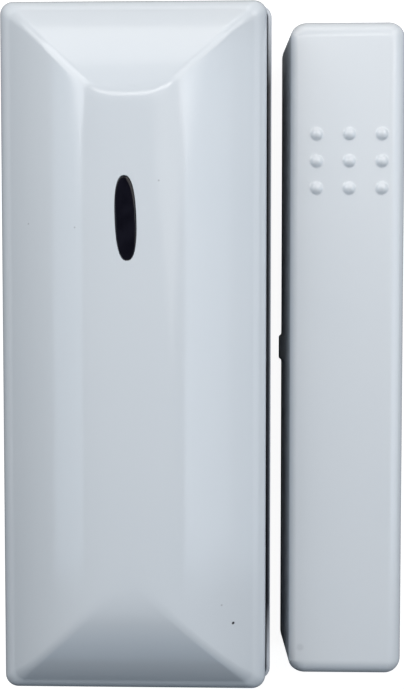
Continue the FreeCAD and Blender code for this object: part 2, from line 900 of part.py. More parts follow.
def antenna():
    """A stiff wire along the board's left edge, with both ends bent down to it."""
    radius, half = size.antenna_wire / 2, size.antenna_length / 2
    z = board_top + size.antenna_lift
    parts = [rod("antenna_run", radius, size.antenna_length, -size.antenna_x, -half, z)]
    for side in (1, -1):
        parts.append(ball("antenna_bend", radius, -size.antenna_x, side * half, z))
        parts.append(post("antenna_leg", radius, size.antenna_lift, -size.antenna_x, side * half, board_top))
    keep(joined("antenna_path", parts), "antenna_wire")


def flat_part(name, width, length, height, corner, x, y, edge):
    """A board part with rounded plan corners and a rounded top edge."""
    body = new_body(name)
    outline = new_sketch(body, name + "_outline", lift=board_top)
    draw_rounded(outline, width, length, corner, x, y)
    raise_up(body, outline, height)
    round_edges(body, flat_at(board_top + height), edge, name + "_top_round")
    return body


def board_parts():
    width, edge = size.chip_width, size.chip_round
    chip = flat_part("chip", width, width, size.chip_height, edge, size.chip_x, size.chip_y, edge)
    keep(chip, "microcontroller")
    width, edge = size.can_width, size.can_round
    can = flat_part("can", width, width, size.can_height, edge, size.can_x, size.can_y, edge)
    keep(can, "radio_can")

    width, length, height = size.crystal_width, size.crystal_length, size.crystal_height
    x, y, corner, edge = size.crystal_x, size.crystal_y, size.crystal_corner, size.crystal_round
    crystal = flat_part("crystal", width, length, height, corner, x, y, edge)
    flange = new_sketch(crystal, "crystal_flange", lift=board_top)
    rim = size.crystal_flange
    draw_rounded(flange, width + rim * 2, length + rim * 2, corner + rim, x, y)
    raise_up(crystal, flange, rim)
    keep(crystal, "quartz_crystal")

    capacitor = new_body("capacitor")
    profile = new_sketch(capacitor, "capacitor_profile", "XZ_Plane")
    radius, groove, height = size.capacitor_diameter / 2, size.capacitor_groove, size.capacitor_height
    groove_z = size.capacitor_groove_height
    corners = [
        (0, 0),
        (radius, 0),
        (radius, groove_z - groove),
        (radius - groove, groove_z),
        (radius, groove_z + groove),
        (radius, height - groove),
        (radius - groove, height),
        (0, height),
    ]
    draw(profile, corners, {5: (groove, True)})
    spin(capacitor, profile, "Z_Axis")
    place(capacitor, size.capacitor_x, size.capacitor_y, board_top)
    keep(capacitor, "capacitor")

    lamp_base = block(
        "lamp_base", size.lamp_width, size.lamp_length, size.lamp_base, 0, size.window_offset, board_top
    )
    dome = doc.addObject("Part::Cone", "lamp_dome")
    bind(dome, Radius1=size.lamp_dome_foot / 2, Radius2=size.lamp_dome_top / 2, Height=size.lamp_dome)
    place(dome, 0, size.window_offset, board_top + size.lamp_base)
    keep(joined("lamp", [lamp_base, dome]), "status_lamp")

    small = []
    for x, y, turned in SMALL_PARTS:
        long, short = size.small_part_length, size.small_part_width
        across, along = (short, long) if turned else (long, short)
        small.append(block("small_part", across, along, size.small_part_height, x, y, board_top))
    keep(group("small_part_group", small), "small_board_parts")


def header_and_jumper():
    """A three-pin header with a jumper over two of its pins."""
    x, pitch, thick = size.header_x, size.header_pitch, size.header_pin
    pins = []
    for step in (-1, 0, 1):
        y = size.header_y + step * pitch
        pins.append(block("header_pin", thick, thick, size.header_pin_height, x, y, board_top))
    pin_row = keep(group("header_pin_row", pins), "header_pins")
    length = size.header_block + pitch * 2
    blank = block("header_blank", size.header_block, length, size.header_block, x, size.header_y, board_top)
    keep(less("header_body", blank, pin_row), "header_block")

    foot = board_top + size.header_block + size.jumper_clearance
    middle = size.header_y + pitch / 2
    width = size.header_block
    cap = block("jumper_blank", width, width + pitch, size.jumper_height, x, middle, foot)
    socket = thick + size.jumper_clearance * 2
    deep = board_top + size.header_pin_height + size.jumper_clearance - foot
    sockets = []
    for step in (0, 1):
        sockets.append(block("jumper_socket", socket, socket, deep, x, size.header_y + step * pitch, foot))
    keep(less("jumper_body", cap, group("jumper_sockets", sockets)), "jumper_cap")


def magnet_cover():
    """A drafted cap with a rounded top edge, grip bumps at one end, an alignment mark on the wall that
    faces the sensor, and nibs inside its foot that click under the plate's ledges."""
    draft = Size(f"atan({(size.magnet_lean / size.magnet_height).formula})", 0)
    body = new_body("magnet_cap")
    outline = new_sketch(body, "cap_outline")
    width, length = size.magnet_width, size.magnet_length
    draw_rounded(outline, width, length, size.magnet_corner, magnet_x, size.magnet_shift)
    raise_up(body, outline, size.magnet_height, taper=-draft)
    round_edges(body, flat_at(size.magnet_height), size.magnet_edge_round, "cap_edge_round")

    wall = size.magnet_wall
    inside = new_sketch(body, "cap_inside")
    inside_corner = size.magnet_inside_corner
    draw_rounded(inside, width - wall * 2, length - wall * 2, inside_corner, magnet_x, size.magnet_shift)
    hollow(body, inside, size.magnet_height - wall, taper=-draft, reverse=True)

    bar_top = size.magnet_base_thickness + size.magnet_bar_height
    rib_foot = bar_top + size.magnet_rib_gap
    ribs = new_sketch(body, "bar_ribs", lift=rib_foot)
    half_rib, half_bar = size.magnet_rib_width / 2, size.magnet_bar_width / 2
    for side in (1, -1):
        y = size.magnet_shift + side * size.magnet_bar_length / 4
        draw_rectangle(ribs, magnet_x - half_bar, magnet_x + half_bar, y - half_rib, y + half_rib)
    raise_up(body, ribs, size.magnet_height - wall / 2 - rib_foot)

    tip, nib_root = magnet_base_width / 2 - size.magnet_nib_reach, width / 2 - wall / 2
    for along in (1, -1):
        y = size.magnet_shift + along * size.magnet_nib_spacing / 2
        nibs = new_sketch(body, "cap_nibs", "XZ_Plane", lift=-y)
        right = [
            (tip, size.magnet_nib_lift + size.magnet_nib_ramp),
            (nib_root, size.magnet_nib_lift),
            (nib_root, magnet_nib_top),
            (tip, magnet_nib_top),
        ]
        draw(nibs, [(magnet_x + x, z) for x, z in right])
        draw(nibs, [(magnet_x - x, z) for x, z in right][::-1])
        raise_up(body, nibs, size.magnet_nib_width, symmetric=True)

    mark = new_sketch(body, "alignment_mark", "XZ_Plane", lift=-(size.magnet_shift + size.mark_shift))
    left = magnet_x - width / 2
    fade = left + size.magnet_lean * size.mark_height / size.magnet_height
    behind = left + wall / 2
    top = size.mark_height
    draw(mark, [(left - size.mark_reach, 0), (behind, 0), (behind, top), (fade, top)])
    raise_up(body, mark, size.mark_length, symmetric=True)

    radius, bump = size.grip_diameter / 2, size.grip_height
    sphere_radius = (radius * radius + bump * bump) / (bump * 2)
    bumps = []
    for across in (-1, 0, 1):
        for along in (-1, 0, 1):
            x = magnet_x + size.grip_shift_across + across * size.grip_pitch_across
            y = size.magnet_shift + size.grip_shift_along + along * size.grip_pitch_along
            bumps.append(ball("grip_bump", sphere_radius, x, y, size.magnet_height + bump - sphere_radius))
    keep(joined("magnet_cap_with_grip", [body] + bumps), "magnet_cover")


def magnet_base():
    """A plate flush with the cap's foot, with wall screw bores, a ledge over each of the cap's nibs and
    a cradle for the bar magnet."""
    body = new_body("magnet_base")
    outline = new_sketch(body, "plate_outline")
    corner = size.magnet_inside_corner
    draw_rounded(outline, magnet_base_width, magnet_base_length, corner, magnet_x, size.magnet_shift)
    raise_up(body, outline, size.magnet_base_thickness)
    bores = new_sketch(body, "plate_bores", lift=size.magnet_base_thickness)
    for along in (1, -1):
        y = size.magnet_shift + along * size.magnet_screw_pitch / 2
        draw_circle(bores, magnet_x, y, size.magnet_screw_bore / 2)
    hollow(body, bores, size.magnet_base_thickness)

    notches = new_sketch(body, "nib_notches")
    gap = size.magnet_nib_gap
    notch_foot = magnet_base_width / 2 - size.magnet_nib_reach - gap
    beside = magnet_base_width / 2 + BEYOND
    for along in (1, -1):
        y = size.magnet_shift + along * size.magnet_nib_spacing / 2
        low, high = y - size.magnet_nib_width / 2 - gap, y + size.magnet_nib_width / 2 + gap
        draw_rectangle(notches, magnet_x + notch_foot, magnet_x + beside, low, high)
        draw_rectangle(notches, magnet_x - beside, magnet_x - notch_foot, low, high)
    hollow(body, notches, magnet_nib_top + gap, reverse=True)

    cradle = new_sketch(body, "bar_cradle", lift=size.magnet_base_thickness)
    half_width = size.magnet_bar_width / 2 + size.cradle_clearance
    half_length = size.magnet_bar_length / 2 + size.cradle_clearance
    y = size.magnet_shift
    wall = size.cradle_wall
    low_x, high_x = magnet_x - half_width, magnet_x + half_width
    draw_rectangle(cradle, low_x, high_x, y - half_length, y + half_length)
    draw_rectangle(cradle, low_x - wall, high_x + wall, y - half_length - wall, y + half_length + wall)
    raise_up(body, cradle, size.cradle_height)
    keep(body, "magnet_base")

    bar = block(
        "bar_magnet",
        size.magnet_bar_width,
        size.magnet_bar_length,
        size.magnet_bar_height,
        magnet_x,
        y,
        size.magnet_base_thickness,
    )
    keep(bar, "magnet_bar")


sensor_base()
sensor_cover()
window_lens()
circuit_board()
board_screws()
battery_cell()
battery_clips()
reed_switch()
tamper_switch()
antenna()
board_parts()
header_and_jumper()
magnet_cover()
magnet_base()

doc.recompute()
for thing in doc.Objects:
    if {"Invalid", "Error"} & set(thing.State):
        raise RuntimeError(f"{thing.Name} failed: {thing.State}")
for piece in pieces:
    if piece.Shape.isNull() or not piece.Shape.isValid():
        raise RuntimeError(f"{piece.Label} has no valid shape")

os.makedirs("parts", exist_ok=True)
for piece in pieces:
    piece.Shape.exportStep(f"parts/{piece.Label}.step")
    print(f"{piece.Label}: {len(piece.Shape.Solids)} solid(s), {piece.Shape.Volume:.1f} mm3")
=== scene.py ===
import math
from functools import cached_property

import bmesh
import bpy
import numpy as np
from mathutils import Matrix, Vector


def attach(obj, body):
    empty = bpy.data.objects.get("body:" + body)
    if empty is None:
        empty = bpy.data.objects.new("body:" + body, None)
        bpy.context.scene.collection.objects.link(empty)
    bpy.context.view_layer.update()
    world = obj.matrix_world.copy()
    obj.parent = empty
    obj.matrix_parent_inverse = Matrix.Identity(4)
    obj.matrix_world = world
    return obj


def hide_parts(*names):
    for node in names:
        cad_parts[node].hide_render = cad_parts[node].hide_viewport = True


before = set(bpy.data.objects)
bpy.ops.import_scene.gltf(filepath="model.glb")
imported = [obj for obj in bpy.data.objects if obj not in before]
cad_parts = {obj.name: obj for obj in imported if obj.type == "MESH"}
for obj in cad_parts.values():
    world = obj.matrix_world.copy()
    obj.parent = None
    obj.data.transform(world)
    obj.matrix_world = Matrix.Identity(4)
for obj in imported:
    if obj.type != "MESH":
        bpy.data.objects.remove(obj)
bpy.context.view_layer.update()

# A wireless magnetic door contact seen from straight above: the sensor in its hipped glossy housing
# on the left and the satin magnet unit on the right. Shapes are worked out in millimetres, in the
# frame of the solids, and become metres when they are put into a mesh.
METRES = 0.001
BODY = "contact_pair"
MERGE_DISTANCE = 2e-7
SHARP_EDGE = math.radians(38)

# Sensor cover: walls up to the eave, a slope on each of the four sides and an arched crown.
COVER_HALF_WIDTH = 15.3
COVER_HALF_LENGTH = 39.8
COVER_CORNER = 1.45
COVER_WALL = 1.6
COVER_FOOT = 9.5
EAVE = 17.3
EAVE_ROUND = 3.0
HIP_RUN = 11.2
HIP_TOP = 23.82
HIP_SWELL = 0.75
CROWN_RISE = 0.14
CEILING = HIP_TOP - COVER_WALL

# Softness of the cover's creases: the corner radius between two slopes, the inset over which the
# wall's corner radius falls to it, and the blends between slopes and crown along the sides, at the
# window's end and at the other end. Beyond FAR_CORNER_Y the sides take the blend of the window's end.
CREASE_ROUND = 0.75
CREASE_FADE = 2.6
SIDE_BLEND = 0.20
FAR_END_BLEND = 0.10
NEAR_END_BLEND = 0.30
FAR_CORNER_Y = 24.5
FAR_CORNER_FADE = 1.2

# Rings on the crown keep the walls' outline this far past its edge, and then crowd towards the window.
RINGS_PAST_EDGE = 2.4
RING_CROWDING = 1.5

# Window in the crown.
WINDOW_X = -0.2
WINDOW_Y = 14.56
WINDOW_HALF_WIDTH = 1.125
WINDOW_HALF_LENGTH = 4.55
WINDOW_FULLNESS = 2.5
WINDOW_GAP = 0.05
WINDOW_LEAN = math.radians(2.0)
COLLAR_RUN = 0.025
COLLAR_DROP = 0.035
FLANGE = 1.2
FLANGE_THICKNESS = 0.8
GUIDE_RADIUS = 1.1
GUIDE_FOOT = 7.0
PANE_TOP = 23.96
PANE_ROUND = 0.14
PANE_DOME = 0.05

# Snap tabs and switch post inside the cover.
TAB_FACE = 13.9
TAB_THICKNESS = 1.0
TAB_FOOT = 5.9
TAB_TOP = 11.7
TAB_HALF_WIDTH = 3.5
TAB_Y = 20.0
NIB_REACH = 0.6
NIB_FOOT = 6.4
NIB_LAND = 7.3
NIB_TOP = 7.6
POST_RADIUS = 1.6
POST_Y = 24.5
POST_FOOT = 10.72
POST_TOP = 22.4

# Tray, and the middle of the gap between the two units.
TRAY_HALF_WIDTH = 16.0
GAP_X = 16.9

# Magnet unit's cap.
MAGNET_X = 25.05
MAGNET_Y = -0.6
MAGNET_HALF_WIDTH = 7.25
MAGNET_HALF_LENGTH = 39.6
MAGNET_TOP = 12.2
MAGNET_CORNER = 2.4
MAGNET_SOFT_CORNER = 0.3
MAGNET_INSIDE_CORNER = 0.9
MAGNET_LEAN = 0.49
MAGNET_SLANT = MAGNET_LEAN / MAGNET_TOP
MAGNET_WALL = 1.5
MAGNET_ROUND = 1.9
MAGNET_ROUND_AT_GAP = 0.85

# Grip bumps on the cap's face and the mark on its wall at the gap. The margins are stretches beside
# them where the steps still lie close together. The powers keep the tighter edge and the mark to the
# wall that faces the sensor.
GRIP_X = 25.15
GRIP_Y = 22.05
GRIP_STEP_X = 3.85
GRIP_STEP_Y = 3.18
GRIP_RADIUS = 0.75
GRIP_RISE = 0.4
GRIP_FOOT_BLEND = 0.02
GRIP_MARGIN = 0.2
MARK_Y = -0.5
MARK_HALF_LENGTH = 1.55
MARK_REACH = 0.33
MARK_TOP = 5.0
MARK_END_FADE = 0.06
MARK_MARGIN = 0.8
TIGHT_EDGE_POWER = 4
MARK_POWER = 8

# Ribs over the magnet bar and catches that hold the cap on its plate.
RIB_Y = 6.0
RIB_HALF_WIDTH = 3.0
RIB_HALF_THICKNESS = 0.6
RIB_FOOT = 7.0
RIB_TOP = 11.45
CATCH_TIP = 5.2
CATCH_ROOT = 6.5
CATCH_FOOT = 0.2
CATCH_RAMP = 0.6
CATCH_TOP = 1.0
CATCH_Y = 22.0
CATCH_HALF_WIDTH = 3.0

# Floor and surround: half the floor's side in metres, its drop below the pair's feet, how far from the
# gap's middle the painted shade on the floor thins out and ends, the floor's glow and the surround's fill.
FLOOR_HALF = 0.6
FLOOR_DROP = 0.02
SHADE_THINS = 1.2
SHADE_ENDS = 2.4
FLOOR_GLOW = 0.93
SURROUND_FILL = 0.024


def add_piece(name, surfaces, slot, node):
    """One object from closed surfaces, each (points in mm, faces). Doubled points at poles and along
    ridges are merged, and each surface's faces are turned outwards."""
    points, faces, count = [], [], 0
    for spots, sides in surfaces:
        points.append(np.asarray(spots, float))
        faces += [[corner + count for corner in side] for side in sides]
        count += len(spots)
    mesh = bpy.data.meshes.new(name)
    mesh.from_pydata((np.concatenate(points) * METRES).tolist(), [], faces)
    work = bmesh.new()
    work.from_mesh(mesh)
    bmesh.ops.remove_doubles(work, verts=work.verts, dist=MERGE_DISTANCE)
    bmesh.ops.recalc_face_normals(work, faces=work.faces)
    work.to_mesh(mesh)
    work.free()
    mesh.polygons.foreach_set("use_smooth", np.ones(len(mesh.polygons), bool))
    mesh.set_sharp_from_angle(angle=SHARP_EDGE)
    mesh.materials.append(finishes[slot])
    piece = bpy.data.objects.new(name, mesh)
    bpy.context.scene.collection.objects.link(piece)
    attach(piece, BODY)
    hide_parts(node)


def skin(rings, closed):
    """Quads between neighbouring rings of a (ring, step, xyz) array; the steps run all the way round,
    and closed joins the last ring to the first."""
    count, steps = rings.shape[:2]
    first = np.arange(count if closed else count - 1)[:, None]
    step = np.arange(steps)[None, :]
    after, beside = (first + 1) % count, (step + 1) % steps
    pairs = ((first, step), (first, beside), (after, beside), (after, step))
    quads = np.stack([ring * steps + place for ring, place in pairs], axis=-1).reshape(-1, 4)
    return rings.reshape(-1, 3), quads.tolist()


def level_rings(x, y, height):
    """Rings of points, each ring at one height."""
    return np.stack([x, y, np.broadcast_to(height[:, None], x.shape)], axis=-1)


def prism(outline, low, high, axis):
    """An outline pushed straight along an axis from low to high, with flat caps."""
    outline = np.asarray(outline, float)
    count = len(outline)
    ends = [np.insert(outline, axis, place, axis=1) for place in (low, high)]
    here, following = np.arange(count), (np.arange(count) + 1) % count
    sides = np.stack([here, following, following + count, here + count], axis=-1).tolist()
    caps = [here[::-1].tolist(), (here + count).tolist()]
    return np.concatenate(ends), sides + caps


def in_four_quarters(profile, middle_x, middle_y, reach_y, half_width):
    """A profile across a unit, pushed along it by twice the half width, in the four quarters round
    the unit's middle: turned over for the left side, and reach_y above and below the middle."""
    pieces = []
    for across in (1, -1):
        for along in (1, -1):
            place = middle_y + along * reach_y
            outline = profile * (across, 1) + (middle_x, 0)
            pieces.append(prism(outline, place - half_width, place + half_width, 1))
    return pieces


def arc(start_degrees, end_degrees, steps):
    """Cosines and sines of evenly spaced angles, both ends included."""
    turn = np.radians(np.linspace(start_degrees, end_degrees, steps))
    return np.cos(turn), np.sin(turn)


class Around:
    """Steps once round a rounded rectangle. Each step keeps where its corner centre lies, as shares of
    the straight half sides, and the angle of its outward normal, so that every ring of a shell is
    centre + radius * (cos, sin) with the same steps."""

    def __init__(self, side_shares, end_shares, corner_steps):
        ones_side, ones_end = np.ones(len(side_shares)), np.ones(len(end_shares))
        turn = np.arange(1, corner_steps) * 90 / corner_steps
        ones_turn = np.ones(len(turn))
        runs = [
            (ones_side, side_shares, 0 * ones_side),
            (ones_turn, ones_turn, turn),
            (end_shares[::-1], ones_end, 90 * ones_end),
            (-ones_turn, ones_turn, 90 + turn),
            (-ones_side, side_shares[::-1], 180 * ones_side),
            (-ones_turn, -ones_turn, 180 + turn),
            (end_shares, -ones_end, 270 * ones_end),
            (ones_turn, -ones_turn, 270 + turn),
        ]
        self.share_x, self.share_y, degrees = (np.concatenate(column) for column in zip(*runs))
        self.cos, self.sin = np.cos(np.radians(degrees)), np.sin(np.radians(degrees))

    def rings(self, half_x, half_y, corner):
        """One ring for each pair of half sides and its corner radius."""
        half_x, half_y, corner = (np.asarray(size, float)[:, None] for size in (half_x, half_y, corner))
        x = self.share_x * (half_x - corner) + corner * self.cos
        y = self.share_y * (half_y - corner) + corner * self.sin
        return x, y


def soft_lower(first, second, blend):
    """The lower of two heights, with the crease between them rounded: the lower one, less the blend
    times the logarithm of one plus e to the power of minus their distance over the blend."""
    return np.minimum(first, second) - blend * np.log1p(np.exp(-np.abs(first - second) / blend))


def soft_step(value, place, fade):
    """Runs from nothing below a place to one above it along an S-curve: one over one plus e to the
    power of the way left to the place over the fade."""
    return 1 / (1 + np.exp((place - value) / fade))


def oval_reach(half_width, half_length, angle):
    """Distance from an oval's middle to its rim at each angle. The oval is a superellipse: the powers
    of the two shares, across and along, add up to one."""
    across, along = np.abs(np.cos(angle)) / half_width, np.abs(np.sin(angle)) / half_length
    return (across**WINDOW_FULLNESS + along**WINDOW_FULLNESS) ** (-1 / WINDOW_FULLNESS)


def slope_of(eave, top, run, swell, rounding):
    """The roof's side profile as a height over the inset from the wall: a straight chord from the end
    of the eave's arc to the crown's edge, swollen into one circular arc, and straight beyond it. Also
    where the eave's arc ends, and the height where the wall ends below it."""
    steep = (top - eave) / run
    stretch = math.hypot(steep, 1)
    setback = rounding * (stretch - steep)
    start = np.array([setback / stretch, eave + setback * steep / stretch])
    end = np.array([run, top])
    chord = end - start
    length = np.hypot(*chord)
    radius = (length**2 / 4 + swell**2) / (2 * swell)
    upward = np.array([-chord[1], chord[0]]) / length
    centre = (start + end) / 2 - upward * (radius - swell)
    end_steep = -(end[0] - centre[0]) / (end[1] - centre[1])

    def height(inset):
        across = np.minimum(inset, run) - centre[0]
        on_arc = centre[1] + np.sqrt(np.maximum(radius**2 - across**2, 0))
        return on_arc + np.maximum(inset - run, 0) * end_steep
    return height, start, eave - setback


def crease_corner(inset):
    """Corner radius of the cover's rings: the wall's at first, and along a bell curve down to that of
    the creases between two slopes."""
    return CREASE_ROUND + (COVER_CORNER - CREASE_ROUND) * np.exp(-((inset / CREASE_FADE) ** 2))


def roof(x, y, slope_height):
    """The roof's height: the slope's or, where that is lower, the crown's, which is a parabola across
    the cover. The crease between the two is soft along the sides, tight at the window's end and beside
    its corners, and softest at the other end."""
    from_side, from_end = COVER_HALF_WIDTH - np.abs(x), COVER_HALF_LENGTH - np.abs(y)
    sideways = soft_step(from_end, from_side, CREASE_ROUND)
    far_corner = soft_step(y, FAR_CORNER_Y, FAR_CORNER_FADE)
    side_blend = SIDE_BLEND + (FAR_END_BLEND - SIDE_BLEND) * far_corner
    end_blend = np.where(y > 0, FAR_END_BLEND, NEAR_END_BLEND)
    crown = HIP_TOP + CROWN_RISE * (1 - (x / (COVER_HALF_WIDTH - HIP_RUN)) ** 2)
    return soft_lower(slope_height, crown, end_blend + (side_blend - end_blend) * sideways)


def cover_outside(around):
    """Rings of the outer skin: up the wall, round the eave by an arc and up the slopes to the crown.
    Inwards of the crown's edge straight lines lead from the last ring to a collar round the window's
    oval, and the last rings go down from the collar through the opening."""
    slope, eave_end, wall_top = slope_of(EAVE, HIP_TOP, HIP_RUN, HIP_SWELL, EAVE_ROUND)
    turned = math.degrees(math.asin((eave_end[1] - wall_top) / EAVE_ROUND))
    arc_cos, arc_sin = arc(0, turned, 12)
    wall_z = np.linspace(COVER_FOOT, wall_top, 6)[:-1]
    inset = np.concatenate([0 * wall_z, EAVE_ROUND * (1 - arc_cos)])
    x, y = around.rings(COVER_HALF_WIDTH - inset, COVER_HALF_LENGTH - inset, crease_corner(inset))
    lower = level_rings(x, y, np.concatenate([wall_z, wall_top + EAVE_ROUND * arc_sin]))

    inset = np.linspace(eave_end[0], HIP_RUN + RINGS_PAST_EDGE, 64)[1:]
    x, y = around.rings(COVER_HALF_WIDTH - inset, COVER_HALF_LENGTH - inset, crease_corner(inset))
    upper = np.stack([x, y, roof(x, y, slope(inset)[:, None])], axis=-1)

    angle = np.arctan2(y[-1] - WINDOW_Y, x[-1] - WINDOW_X)
    half_width, half_length = WINDOW_HALF_WIDTH + WINDOW_GAP, WINDOW_HALF_LENGTH + WINDOW_GAP
    reach = oval_reach(half_width, half_length, angle - WINDOW_LEAN)
    rim_x, rim_y = WINDOW_X + reach * np.cos(angle), WINDOW_Y + reach * np.sin(angle)
    collar_x, collar_y = rim_x + COLLAR_RUN * np.cos(angle), rim_y + COLLAR_RUN * np.sin(angle)
    share = 1 - (1 - np.linspace(0, 1, 26)[1:, None]) ** RING_CROWDING
    x, y = x[-1] + (collar_x - x[-1]) * share, y[-1] + (collar_y - y[-1]) * share
    from_wall = np.minimum(COVER_HALF_WIDTH - np.abs(x), COVER_HALF_LENGTH - np.abs(y))
    fan = np.stack([x, y, roof(x, y, slope(from_wall))], axis=-1)
    collar_foot = np.stack([rim_x, rim_y, fan[-1, :, 2] - COLLAR_DROP], axis=-1)[None]
    throat = np.stack([rim_x, rim_y, np.full_like(rim_x, CEILING)], axis=-1)[None]
    return np.concatenate([lower, upper, fan, collar_foot, throat])


def cover_inside(around):
    """Rings of the hollow, from its ceiling down its slopes and walls to the foot. Its slopes are the
    outer ones moved inwards by the wall."""
    steep = (HIP_TOP - EAVE) / HIP_RUN
    stretch = math.hypot(steep, 1)
    core_eave = EAVE + COVER_WALL * (steep - stretch)
    core_run = HIP_RUN - COVER_WALL + COVER_WALL * (stretch - 1) / steep
    core_slope = slope_of(core_eave, CEILING, core_run, HIP_SWELL, 0)[0]
    depth = np.linspace(core_run, 0, 16)
    inset = COVER_WALL + np.concatenate([depth, [0]])
    corner = np.full(len(inset), COVER_CORNER / 2)
    x, y = around.rings(COVER_HALF_WIDTH - inset, COVER_HALF_LENGTH - inset, corner)
    return level_rings(x, y, np.concatenate([core_slope(depth), [COVER_FOOT]]))


def sensor_cover_surfaces():
    """The shell as one skin closed at its foot, four snap tabs with ramped nibs, and the round post
    that stands over the tamper switch."""
    around = Around(np.linspace(-1, 1, 121), np.linspace(-1, 1, 45), corner_steps=12)
    shell = skin(np.concatenate([cover_outside(around), cover_inside(around)]), closed=True)
    tab = np.array([
        (TAB_FACE - TAB_THICKNESS, TAB_FOOT),
        (TAB_FACE, TAB_FOOT),
        (TAB_FACE, NIB_FOOT),
        (TAB_FACE + NIB_REACH, NIB_LAND),
        (TAB_FACE + NIB_REACH, NIB_TOP),
        (TAB_FACE, NIB_TOP),
        (TAB_FACE, TAB_TOP),
        (TAB_FACE - TAB_THICKNESS, TAB_TOP),
    ])
    tabs = in_four_quarters(tab, 0, 0, TAB_Y, TAB_HALF_WIDTH)
    circle = np.stack(arc(0, 360, 33), axis=-1)[:-1] * POST_RADIUS + (0, POST_Y)
    return [shell] + tabs + [prism(circle, POST_FOOT, POST_TOP, 2)]


def window_lens_surfaces():
    """A turned stack of outlines, each a circle or an oval round the window's middle: light guide,
    flange, pane, rounded rim and a shallow dome, which falls by the square of the way out."""
    angle = np.linspace(0, 2 * math.pi, 128, endpoint=False)
    guide = np.full_like(angle, GUIDE_RADIUS)
    flange = oval_reach(WINDOW_HALF_WIDTH + FLANGE, WINDOW_HALF_LENGTH + FLANGE, angle)
    pane = oval_reach(WINDOW_HALF_WIDTH, WINDOW_HALF_LENGTH, angle)
    flange_foot = CEILING - FLANGE_THICKNESS
    stack = [(0 * guide, GUIDE_FOOT), (guide, GUIDE_FOOT), (guide, flange_foot)]
    stack += [(flange, flange_foot), (flange, CEILING), (pane, CEILING)]
    for rim_cos, rim_sin in zip(*arc(0, 90, 6)):
        height = PANE_TOP - PANE_DOME - PANE_ROUND * (1 - rim_sin)
        stack.append((pane - PANE_ROUND * (1 - rim_cos), height))
    for share in (0.8, 0.6, 0.4, 0.2, 0):
        stack.append(((pane - PANE_ROUND) * share, PANE_TOP - PANE_DOME * share**2))
    reach, height = (np.array(column) for column in zip(*stack))
    turned = angle + WINDOW_LEAN
    x, y = WINDOW_X + reach * np.cos(turned), WINDOW_Y + reach * np.sin(turned)
    return [skin(level_rings(x, y, height), closed=False)]


def magnet_steps():
    """Steps round the magnet cap. Along its sides they lie close together beside the mark and beside
    the grip bumps."""
    ridge = MAGNET_HALF_LENGTH - MAGNET_HALF_WIDTH
    mark_reach = MARK_HALF_LENGTH + MARK_MARGIN
    mark_low, mark_high = ((MARK_Y - MAGNET_Y + side * mark_reach) / ridge for side in (-1, 1))
    grip_reach = GRIP_STEP_Y + GRIP_RADIUS + GRIP_MARGIN
    grip_low = (GRIP_Y - MAGNET_Y - grip_reach) / MAGNET_HALF_LENGTH
    grip_high = (GRIP_Y - MAGNET_Y + grip_reach) / ridge
    sides = np.concatenate([
        np.linspace(-1, mark_low, 30)[:-1],
        np.linspace(mark_low, mark_high, 36),
        np.linspace(mark_high, grip_low, 14)[1:-1],
        np.linspace(grip_low, grip_high, 110),
        np.linspace(grip_high, 1, 9)[1:],
    ])
    return Around(sides, np.linspace(-1, 1, 31), corner_steps=12)


def grip_bumps(x, y):
    """Height of the nine grip bumps over the face: sphere caps, whose feet run softly into it."""
    ball = (GRIP_RADIUS**2 + GRIP_RISE**2) / (2 * GRIP_RISE)
    bumps = np.zeros_like(x)
    for across in (-1, 0, 1):
        for along in (-1, 0, 1):
            away = np.hypot(x - GRIP_X - across * GRIP_STEP_X, y - GRIP_Y - along * GRIP_STEP_Y)
            cap = np.sqrt(np.maximum(ball**2 - away**2, 0)) - (ball - GRIP_RISE)
            swell = GRIP_FOOT_BLEND * np.logaddexp(0, cap / GRIP_FOOT_BLEND)
            bumps += np.where(away < ball, swell, 0)
    return bumps


def magnet_outside(around):
    """Rings of the outer skin: up the leaning walls, round the top edge by a quarter arc and in to the
    ridge line of the face. At the wall that faces the sensor the rings are moved up and outwards, so
    that the arc there is tighter. The bumps rise from the face. The mark is a wedge on that wall,
    which fades upwards by a straight line and at its two ends along an S-curve."""
    middle = MAGNET_HALF_WIDTH
    edge_cos, edge_sin = arc(0, 90, 14)
    wall_top = MAGNET_TOP - MAGNET_ROUND
    wall_z = np.linspace(0, wall_top, 22)
    arc_z = wall_top + MAGNET_ROUND * edge_sin
    arc_inset = MAGNET_SLANT * arc_z + MAGNET_ROUND * (1 - edge_cos)
    face_start = arc_inset[-1]
    face_inset = np.linspace(face_start, middle, 58)[1:]
    inset = np.concatenate([MAGNET_SLANT * wall_z[:-1], arc_inset, face_inset])
    height = np.concatenate([wall_z[:-1], arc_z, np.full(len(face_inset), MAGNET_TOP)])[:, None]
    corner = np.maximum(MAGNET_CORNER - inset, MAGNET_SOFT_CORNER)
    corner = np.minimum(corner, np.maximum(middle - inset, 0))
    x, y = around.rings(MAGNET_HALF_WIDTH - inset, MAGNET_HALF_LENGTH - inset, corner)
    x, y = x + MAGNET_X, y + MAGNET_Y

    at_gap = np.maximum(-around.cos, 0)
    tighter = (MAGNET_ROUND - MAGNET_ROUND_AT_GAP) * at_gap**TIGHT_EDGE_POWER
    face_share = (face_inset - face_start) / (middle - face_start)
    upwards = np.concatenate([wall_z[:-1] / wall_top, 1 - edge_sin, 0 * face_inset])[:, None]
    outwards = np.concatenate([0 * wall_z[:-1], 1 - edge_cos, 1 - face_share])[:, None]
    lift = upwards * tighter
    x -= outwards * tighter - MAGNET_SLANT * lift
    z = height + lift + np.where(height >= MAGNET_TOP, grip_bumps(x, y), 0)

    within = soft_step(MARK_HALF_LENGTH, np.abs(y - MARK_Y), MARK_END_FADE)
    fade = np.clip(1 - height / MARK_TOP, 0, 1)
    x -= MARK_REACH * within * fade * at_gap**MARK_POWER
    return np.stack([x, y, z], axis=-1)


